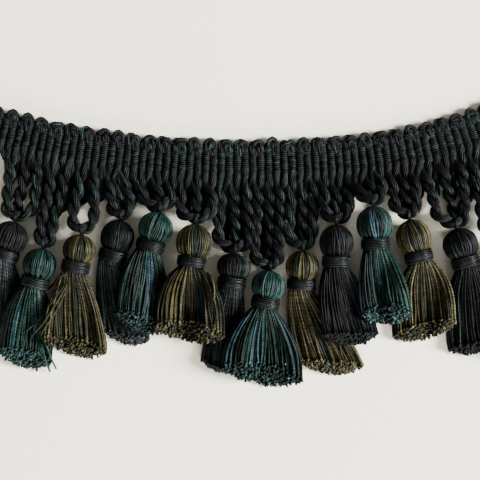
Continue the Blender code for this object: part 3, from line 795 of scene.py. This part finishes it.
def make_ropes():
    """Every loop of bullion as one twisted rope, whose plies open at the top and climb to their own ribs."""
    rng = np.random.default_rng(31)
    routes = []
    for number, loop in enumerate(LOOPS):
        left = cord_route(number, "left")
        right = cord_route(number, "right")
        routes.append((number, (np.vstack([left, right[-2::-1]]), len(left) - 1)))
        if loop.middle is not None:
            routes.append((number, (cord_route(number, "middle"), None)))
    paths, used, lines, legs = [], set(), [], []
    for number, (knots, bottom) in routes:
        length = np.linalg.norm(np.diff(knots, axis=0), axis=1).sum()
        line = even_line(knots, int(length / ROPE_STEP))
        lines.append(line)
        offset = np.full(len(line), PLY_OFFSET)
        if bottom is None:
            legs.append((number, line))
        else:
            lines.append(line[::-1])
            away = np.linalg.norm(line - knots[bottom], axis=1)
            low = int(away.argmin())
            legs.append((number, line[:low]))
            legs.append((number, line[:low:-1]))
            offset *= 1 - TIE_PINCH * np.exp(-((away / TIE_PINCH_REACH) ** 2))
        start = TWIST_START + rng.normal(0, TWIST_START_SPREAD)
        pitch = TWIST_PITCH * (1 + rng.normal(0, TWIST_SPREAD))
        for ply in range(2):
            path = wind(line, offset, pitch, start + math.pi * ply)
            path, lead = from_rib(line, path, used)
            path = [lead, *path]
            if bottom is not None:
                back, lead = from_rib(line[::-1], np.array(path[:0:-1]), used)
                path = [path[0], *back[::-1], lead]
            paths.append(np.array(path))
    paths += [petal(rib, lines) for rib in range(RIBS) if rib not in used]
    under = [petal(rib, lines) - UNDER_STEP for rib in range(RIBS) if rib in used]
    ropes = spin_plies(rng, "bullion_ropes", paths)
    fill = spin_plies(rng, "bullion_fill", fill_between(legs) + under)
    return [dress(ropes, "gimp", "bullion"), dress(fill, "gimp")]


def axes_of(tassel):
    """A tassel's axis, from its neck to its top, and the direction to its right."""
    up = (Vector(tassel.top) - Vector(tassel.neck)).normalized()
    return np.array(up), np.array((up.y, -up.x))


def solid_points(number):
    """The points of a tassel's solid."""
    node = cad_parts[f"tassel_{number + 1:02d}"]
    return np.array([vert.co for vert in node.data.vertices]) / MM


SOLIDS = [solid_points(number) for number in range(len(TASSELS))]


def settled(number, tassel):
    """How low and how high the solid's locks lie at each step, read from the CAD node for each column."""
    up, right = axes_of(tassel)
    points = SOLIDS[number]
    root = np.array(tassel.neck) - up * SKIRT_ROOT_BELOW
    end = np.array(tassel.end)
    lows = np.zeros((len(LOCK_STEPS), COLUMNS))
    highs = np.zeros((len(LOCK_STEPS), COLUMNS))
    for step, t in enumerate(LOCK_STEPS):
        spread = 1 - (1 - t) ** tassel.puff
        for i in range(COLUMNS):
            share = -1 + 2 * i / COLUMNS
            wide = tassel.wide_left if share < 0 else tassel.wide_right
            cut = 1 - END_ROUNDING * share**2
            angle = math.pi * (COLUMN_ANGLES[0] - COLUMN_ANGLES[1] * i)
            narrow = SKIRT_ROOT_RADIUS * (-1.0 if i == 0 else math.cos(angle))
            down = root + (end - root) * t * (1 + (cut - 1) * t)
            place = down + right * (narrow + (share * wide - narrow) * spread + LOCK_GAP / 2)
            near = np.hypot(*(points[:, :2] - place).T) < NEAR_LOCK
            lows[step, i] = points[near, 2].min()
            highs[step, i] = points[near, 2].max()
    return lows, highs


def top_at(x, y):
    """How high the yarns that lie so far are near this point."""
    points = np.vstack(LAID)
    near = np.hypot(points[:, 0] - x, points[:, 1] - y) < STRAY_LOOK
    return points[near, 2].max() if near.any() else SKIRT_THICK


def skirt_places():
    """Each yarn's share of its skirt's width, its side of the axis, and its layer from the lowest, -1, to 1."""
    ends = (np.arange(SKIRT_ENDS) + 0.5) * SKIRT_YARNS / SKIRT_ENDS
    order = np.concatenate([np.arange(SKIRT_YARNS) + 0.5, ends])
    reach = np.sqrt(order / SKIRT_YARNS)
    shares = reach * np.cos(order * GOLDEN_TURN)
    sides = reach * np.sin(order * GOLDEN_TURN)
    layers = np.clip(sides / np.sqrt(np.maximum(1 - shares**2, LAYER_LEAST)), -1, 1)
    layers[SKIRT_YARNS:] = -1 + END_LAYERS * (layers[SKIRT_YARNS:] + 1)
    return zip(shares, sides, layers)


def yarn_offsets(rng, tassel, share, ts, long):
    """How far to the right of its skirt's axis a yarn lies at each step."""
    wide = tassel.wide_left if share < 0 else tassel.wide_right
    spread = 1 - (1 - np.minimum(ts, 1.0)) ** (tassel.puff + SKIRT_PUFF)
    narrow = SKIRT_ROOT_RADIUS * SKIRT_NARROW * share
    sway = rng.normal(0, SKIRT_DRIFT) * ts * long
    sway += rng.normal(0, SKIRT_SWAY) * np.sin(ts * rng.uniform(*SWAY_WAVES) + rng.uniform(*SWAY_PHASES)) * ts
    sway *= 1 - EDGE_CALM * share**2
    return narrow + (share * wide * SKIRT_WIDE - narrow) * spread + sway


def yarn_heights(rng, start, share, layer, ts, settle):
    """How high a yarn lies at each step: from its start down into its layer of the solid's locks."""
    middles = -1 + 2 * (np.arange(COLUMNS) + 0.5) / COLUMNS
    knots = [start]
    for lows, highs in zip(*settle):
        low = np.interp(share, middles, lows) + SKIRT_THICK
        high = np.interp(share, middles, highs) - SKIRT_THICK
        knots.append(low + (layer + 1) / 2 * (high - low))
    heights = np.interp(ts, (0.0, *LOCK_STEPS), knots)
    heights[1:-1] = (heights[:-2] + 2 * heights[1:-1] + heights[2:]) / 4
    heights += rng.normal(0, SKIRT_RISE) * ts
    heights[-3:] += TIP_CURL_SHARES * rng.uniform(*TIP_CURL_SPREAD) * TIP_CURL * (layer + 1) / 2
    return heights


def cut_tip(rng, run):
    """The two points that a cut yarn's end turns up by."""
    ahead = run[-1] - run[-2]
    ahead /= np.linalg.norm(ahead)
    turned = rng.uniform(*TIP_TURN_SPREAD)
    return [run[-1] + ahead * along * turned + np.array([0, 0, rise * turned]) for along, rise in TIP_TURN]


def lay_strays(rng, number, yarn):
    """The stray yarns of a tassel, each over what lies under it, as points and dyes."""
    runs, dyes = [], []
    for owner, knots in STRAYS:
        if owner == number:
            points = [(x, y, top_at(x, y) + STRAY_OVER + rise) for x, y, rise in knots]
            run = even_line(points, SKIRT_POINTS)
            run[:, 2] = np.maximum(run[:, 2], SKIRT_THICK)
            runs.append(run)
            shade = np.array(DYES[yarn][int(rng.integers(0, 3))][0]) * STRAY_BRIGHT
            dyes.append(np.tile(shade, (SKIRT_POINTS, 1)))
    return runs, dyes


def make_skirt(number, tassel):
    """The loose yarns of a tassel, from inside its binding to their brush-cut ends."""
    rng = np.random.default_rng(100 + number)
    up, right = axes_of(tassel)
    neck = np.array(tassel.neck)
    root = neck - up * SKIRT_ROOT_BELOW
    end = np.array(tassel.end)
    axis = AXIS_HIGH[tassel.level]
    settle = settled(number, tassel)
    long = np.linalg.norm(end - root)
    count = SKIRT_YARNS + SKIRT_ENDS
    shades = pick_dyes(rng, tassel.yarn, count) * rng.uniform(*SKIRT_UNEVEN, (count, 1))
    # the skirt's own tone together with painted shade and painted light
    shades *= SKIRT_TONES_AND_PAINTED_LIGHT[number]
    runs, widths, dyes = [], [], []
    for yarn, ((share, side, layer), shade) in enumerate(zip(skirt_places(), shades)):
        whole = yarn < SKIRT_YARNS
        slant = CUT_SLANT[number] * (layer + 1) / 2 * math.sqrt(1 - share**2)
        last = (1 - slant) * (1 + rng.normal(0, CUT_UNEVEN))
        if whole:
            ts = np.linspace(0.0, last, SKIRT_POINTS - 1)
        else:
            ts = np.linspace(last - END_RUN, last, END_POINTS)
        rounding = 1 - END_ROUNDING * share**2
        flow = ts * (1 + (rounding - 1) * ts)
        offsets = yarn_offsets(rng, tassel, share, ts, long)
        flat = root + (end - root) * flow[:, None] + right * offsets[:, None]
        start = axis + side * (SKIRT_ROOT_RADIUS - SKIRT_INSIDE)
        run = np.column_stack([flat, yarn_heights(rng, start, share, layer, ts, settle)])
        if whole:
            inside = NECK_RADIUS - SKIRT_INSIDE
            run = np.vstack([(*(neck + right * share * inside), axis + side * inside), run])
        run[:, 2] = np.maximum(run[:, 2], SKIRT_THICK)
        runs.append(np.vstack([run, cut_tip(rng, run)]))
        widths.append([*np.interp(np.linspace(0, 1, len(run)), YARN_RUN, YARN_WIDTHS), *TIP_WIDTHS])
        dye = np.tile(shade, (len(run) + 2, 1))
        # painted light: the last point and the turned-up tip are lightened
        dye[-3:] *= TIP_PAINTED_LIGHT
        dyes.append(dye)
    LAID.append(np.vstack(runs))
    strays, stray_dyes = lay_strays(rng, number, tassel.yarn)
    widths += [np.ones(SKIRT_POINTS)] * len(strays)
    return spin_yarns(f"skirt_{number + 1:02d}", runs + strays, widths, dyes + stray_dyes, SKIRT_THICK)


def head_shape(tassel):
    """The head's outline from its top to inside the binding: height over the skirt's root, and radius."""
    top = np.linalg.norm(np.array(tassel.top) - np.array(tassel.neck)) + SKIRT_ROOT_BELOW
    neck_high = SKIRT_ROOT_BELOW + BINDING_TALL / 2 + 0.2
    radius = tassel.radius
    tall = top - neck_high
    knots = [
        (top + 0.1, 0.10 * radius, 0),
        (top - 0.2, 0.32 * radius, 0),
        *((neck_high + high * tall, wide * radius, 0) for high, wide in HEAD_OUTLINE),
        (neck_high - 0.3, NECK_RADIUS + 0.5, 0),
        (neck_high - 1.6, NECK_RADIUS, 0),
    ]
    line = even_line(knots, HEAD_POINTS)
    return line[:, 0], line[:, 1]


def around(tassel, heights, radii, angles):
    """Points round a tassel's axis, kept over the surface that it lies on."""
    up, right = axes_of(tassel)
    root = np.array(tassel.neck) - up * SKIRT_ROOT_BELOW
    flat = root + up * heights[:, None] + right * (radii * np.cos(angles))[:, None]
    high = AXIS_HIGH[tassel.level] + radii * np.sin(angles)
    return np.column_stack([flat, high])


def make_head(number, tassel):
    """The ball of yarns over a near-black core, painted shade that shows between them, drawn together at the top and
    under the binding.
    """
    rng = np.random.default_rng(200 + number)
    heights, radii = head_shape(tassel)
    # teal heads take the lighter teal, painted light
    family = "teal_head_lit" if tassel.yarn == "teal" else tassel.yarn
    shades = pick_dyes(rng, family, HEAD_YARNS, HEAD_STRIPE, 2 * math.pi / HEAD_YARNS)
    runs, widths, dyes = [], [], []
    for yarn, shade in enumerate(shades):
        angle = 2 * math.pi * (yarn + rng.normal(0, HEAD_UNEVEN)) / HEAD_YARNS
        lean = rng.normal(0, HEAD_LEAN) + HEAD_LEAN
        angles = angle + lean * np.linspace(1, -1, HEAD_POINTS)
        inner = radii - HEAD_THICK + rng.normal(0, HEAD_RISE)
        run = around(tassel, heights, inner, angles)
        run[:, 2] = np.maximum(run[:, 2], HEAD_THICK)
        runs.append(run)
        widths.append(np.clip(radii / tassel.radius * HEAD_WIDTH, HEAD_LEAST_WIDTH, 1.0))
        dyes.append(np.tile(shade, (HEAD_POINTS, 1)))
    yarns = spin_yarns(f"head_{number + 1:02d}", runs, widths, dyes, HEAD_THICK)

    bpy.ops.object.select_all(action="DESELECT")
    bpy.ops.mesh.primitive_uv_sphere_add(segments=HEAD_CORE_SEGMENTS, ring_count=HEAD_POINTS + 1, radius=1.0)
    core = bpy.context.object
    middle = (heights[0] + heights[-1]) / 2
    half = (heights[0] - heights[-1]) / 2
    for vert in core.data.vertices:
        height = middle + vert.co.z * half
        radius = np.interp(height, heights[::-1], radii[::-1]) - HEAD_CORE_INSIDE * HEAD_THICK
        radius *= min(1.0, HEAD_CORE_POLE * (1 - abs(vert.co.z)))
        angle = math.atan2(vert.co.y, vert.co.x)
        point = around(tassel, np.array([height]), np.array([max(0.0, radius)]), np.array([angle]))[0]
        vert.co = placed((point[0], point[1], max(HEAD_THICK * 2, point[2])))
    # the core's near-black is painted shade between the yarns
    keep_dye(core.data, np.tile(HEAD_CORE_PAINTED_SHADE, (len(core.data.vertices), 1)))
    only(core)
    yarns.select_set(True)
    bpy.context.view_layer.objects.active = yarns
    bpy.ops.object.join()
    return yarns


def make_binding(number, tassel):
    """The thread wound round the neck, turn beside turn."""
    rng = np.random.default_rng(300 + number)
    turns = BINDING_TURNS
    count = turns * BINDING_POINTS
    angles = np.linspace(0, 2 * math.pi * turns, count)
    low = SKIRT_ROOT_BELOW - BINDING_TALL / 2 + BINDING_THREAD
    high = SKIRT_ROOT_BELOW + BINDING_TALL / 2 - BINDING_THREAD
    heights = np.linspace(low, high, count)
    pulls = rng.normal(0, BINDING_PULL, turns + 1)
    heights += np.interp(angles / (2 * math.pi), np.arange(turns + 1), pulls)
    middle = (heights - SKIRT_ROOT_BELOW) / (BINDING_TALL / 2)
    radii = BINDING_RADIUS - BINDING_THREAD - BINDING_ROUND * middle**2
    run = around(tassel, heights, radii, angles)
    shades = pick_dyes(rng, "thread", turns)
    dye = shades[np.minimum((angles / (2 * math.pi)).astype(int), turns - 1)]
    runs = [run, around(tassel, heights[::-1], radii[::-1] - UNDER_INSIDE, -angles)]
    for points in runs:
        points[:, 2] = np.maximum(points[:, 2], BINDING_THREAD)
    widths = [np.ones(count), np.full(count, UNDER_WIDTH)]
    # the under layer takes the same dye darkened, painted shade between the turns
    return spin_yarns(f"wrap_{number + 1:02d}", runs, widths, [dye, dye * UNDER_PAINTED_SHADE], BINDING_THREAD)


def make_tie(number):
    """Turns of thread round the bottom of a loop, drawn down onto the top of the head."""
    rng = np.random.default_rng(400 + number)
    x, y, z = loop_bottom(number)
    count = TIE_TURNS * TIE_POINTS
    angles = np.linspace(0, 2 * math.pi * TIE_TURNS, count)
    radius = TIE_ROUND + rng.normal(0, TIE_WANDER, count).cumsum() * TIE_WANDER_SHARE
    xs = x + np.linspace(-TIE_HALF_WIDE, TIE_HALF_WIDE, count)
    low = y - LOOP_LOWER - radius * np.cos(angles)
    run = np.column_stack([xs, low, z + radius * np.sin(angles)])
    dye = np.tile(pick_dyes(rng, "thread", 1)[0], (count, 1))
    return spin_yarns(f"tie_wrap_{number + 1:02d}", [run], [np.ones(count)], [dye], TIE_FINE)


def add_light(name, place, size, power):
    """A round soft light that faces the middle of the trim."""
    data = bpy.data.lights.new(name, "AREA")
    data.shape = "DISK"
    data.size = size
    data.energy = power
    light = bpy.data.objects.new(name, data)
    light.location = place
    light.rotation_euler = (Vector(LIGHT_AIM) - Vector(place)).to_track_quat("-Z", "Y").to_euler()
    bpy.context.scene.collection.objects.link(light)


def make_stage():
    """A plain pale surface under an even studio sky, a soft light from the right, a low one in front, the camera."""
    bpy.ops.object.select_all(action="DESELECT")
    bpy.ops.mesh.primitive_plane_add(size=4.0, location=(0.0, 0.0, -0.0001))
    floor = bpy.context.object
    floor.name = "floor"
    paper = bpy.data.materials.new("paper")
    paper.use_nodes = True
    shader = paper.node_tree.nodes["Principled BSDF"]
    shader.inputs["Base Color"].default_value = PAPER
    shader.inputs["Roughness"].default_value = 0.9
    floor.data.materials.append(paper)

    for light in LIGHTS:
        add_light(*light)

    world = bpy.data.worlds.new("studio")
    bpy.context.scene.world = world
    world.use_nodes = True
    sky = world.node_tree.nodes["Background"]
    sky.inputs["Color"].default_value = SKY
    sky.inputs["Strength"].default_value = SKY_STRENGTH

    lens = bpy.data.cameras.new("camera")
    lens.lens = 100.0
    lens.sensor_width = 36.0
    camera = bpy.data.objects.new("camera", lens)
    camera.location = CAMERA_PLACE
    bpy.context.scene.collection.objects.link(camera)
    bpy.context.scene.camera = camera


def main():
    for slot, look in YARN_LOOKS.items():
        MATERIALS[slot] = yarn_material(slot, *look)
    make_stage()
    band = make_band()
    going = [make_weft(), make_picots(), *make_ropes()]
    for number, tassel in enumerate(TASSELS):
        label = f"{number + 1:02d}"
        slot = f"yarn_{tassel.yarn}"
        going.append(dress(make_skirt(number, tassel), slot, f"tassel_{label}"))
        going.append(dress(make_head(number, tassel), slot, f"tassel_{label}"))
        going.append(dress(make_binding(number, tassel), "thread", f"binding_{label}"))
        going.append(dress(make_tie(number), "thread", f"tie_{label}"))


main()
